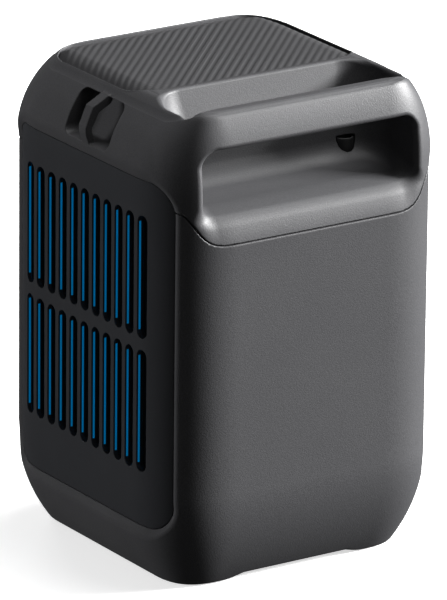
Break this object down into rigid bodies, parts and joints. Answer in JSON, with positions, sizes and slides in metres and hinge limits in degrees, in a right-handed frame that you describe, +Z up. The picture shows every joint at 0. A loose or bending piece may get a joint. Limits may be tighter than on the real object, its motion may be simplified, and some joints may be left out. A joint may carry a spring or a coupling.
{
  "type": "portable power station",
  "caption": "Upright portable power station with a built-in carrying handle at the back, slotted vent sides, a ribbed top pad, front outlets and ports, and bent strap bars.",
  "frame": {"origin": "middle of the underside, where the rubber feet touch the ground", "axes": "+Z up, -Y the front with the outlets, +Y the back with the hand window, +X and -X the vented sides"},
  "size_m": [0.164, 0.161, 0.24],
  "materials": {
    "shell_plastic": "fine spark-eroded charcoal",
    "panel_plastic": "fine-textured near black",
    "black_plastic": "satin black",
    "blue_plastic": "satin blue",
    "pad_rubber": "ribbed, matte",
    "foot_rubber": "matte",
    "clear_lens": "dark tinted gloss",
    "light_lens_plastic": "frosted diffuser",
    "filter_foam": "open mesh",
    "board_green": "solder resist",
    "cell_blue": "shrink film",
    "tray_plastic": "moulded",
    "sink_metal": "extruded",
    "contact_metal": "tinned",
    "ferrite": "taped ferrite",
    "can_metal": "sleeved can",
    "button_plastic": "fine texture"
  },
  "bodies": {
    "housing": {"ac_inlet": "black_plastic", "ac_outlet_1": "black_plastic", "ac_outlet_2": "black_plastic", "ac_outlet_3": "black_plastic", "accent_sheet_left": "blue_plastic", "accent_sheet_right": "blue_plastic", "air_filter_left": "filter_foam", "air_filter_right": "filter_foam", "battery_cell_1": "cell_blue", "battery_cell_2": "cell_blue", "battery_cell_3": "cell_blue", "battery_cell_4": "cell_blue", "battery_cell_5": "cell_blue", "battery_cell_6": "cell_blue", "battery_cell_7": "cell_blue", "battery_cell_8": "cell_blue", "battery_clamp": "tray_plastic", "battery_tray": "tray_plastic", "bms_board": "board_green", "capacitor_1": "can_metal", "capacitor_2": "can_metal", "car_socket": "black_plastic", "control_board": "board_green", "dc_inlet": "black_plastic", "display_lens": "clear_lens", "display_module": "board_green", "fan_housing": "black_plastic", "front_panel": "panel_plastic", "handle_plug_left": "black_plastic", "handle_plug_right": "black_plastic", "heat_sink": "sink_metal", "inverter_board": "board_green", "light_board": "board_green", "light_lens": "light_lens_plastic", "main_shell": "shell_plastic", "mid_shelf": "tray_plastic", "rubber_foot_left": "foot_rubber", "rubber_foot_right": "foot_rubber", "side_panel_left": "panel_plastic", "side_panel_right": "panel_plastic", "top_cap": "shell_plastic", "top_pad": "pad_rubber", "transformer": "ferrite", "usb_a_socket": "contact_metal", "usb_c_socket_1": "contact_metal", "usb_c_socket_2": "contact_metal", "usb_c_socket_3": "contact_metal", "vent_frame_left": "black_plastic", "vent_frame_right": "black_plastic"},
    "power_button_body": {"power_button": "button_plastic"},
    "ac_button_body": {"ac_button": "button_plastic"},
    "dc_button_body": {"dc_button": "button_plastic"},
    "light_button_body": {"light_button": "button_plastic"},
    "car_socket_cap_body": {"car_socket_cap": "black_plastic"},
    "dc_inlet_cover_body": {"dc_inlet_cover": "black_plastic"},
    "fan_rotor_body": {"fan_rotor": "black_plastic"}
  },
  "joints": [
    {"name": "power_button_press", "type": "slide", "parent": "housing", "child": "power_button_body", "axis": [0, 1, 0], "range_m": [0, 0.0008], "stiffness_N_per_m": 600, "springref_m": -0.0012},
    {"name": "ac_button_press", "type": "slide", "parent": "housing", "child": "ac_button_body", "axis": [0, 1, 0], "range_m": [0, 0.0008], "stiffness_N_per_m": 600, "springref_m": -0.0012},
    {"name": "dc_button_press", "type": "slide", "parent": "housing", "child": "dc_button_body", "axis": [0, 1, 0], "range_m": [0, 0.0008], "stiffness_N_per_m": 600, "springref_m": -0.0012},
    {"name": "light_button_press", "type": "slide", "parent": "housing", "child": "light_button_body", "axis": [0, 1, 0], "range_m": [0, 0.0008], "stiffness_N_per_m": 600, "springref_m": -0.0012},
    {"name": "car_socket_cap_hinge", "type": "hinge", "parent": "housing", "child": "car_socket_cap_body", "pos_m": [0.034, -0.078, 0.1689], "axis": [-1, 0, 0], "range_deg": [0, 105]},
    {"name": "dc_inlet_cover_hinge", "type": "hinge", "parent": "housing", "child": "dc_inlet_cover_body", "pos_m": [-0.03, -0.0764, 0.0694], "axis": [-1, 0, 0], "range_deg": [0, 100]},
    {"name": "fan_spin", "type": "hinge", "parent": "housing", "child": "fan_rotor_body", "pos_m": [0.0662, 0.004, 0.158], "axis": [1, 0, 0], "continuous": true}
  ]
}
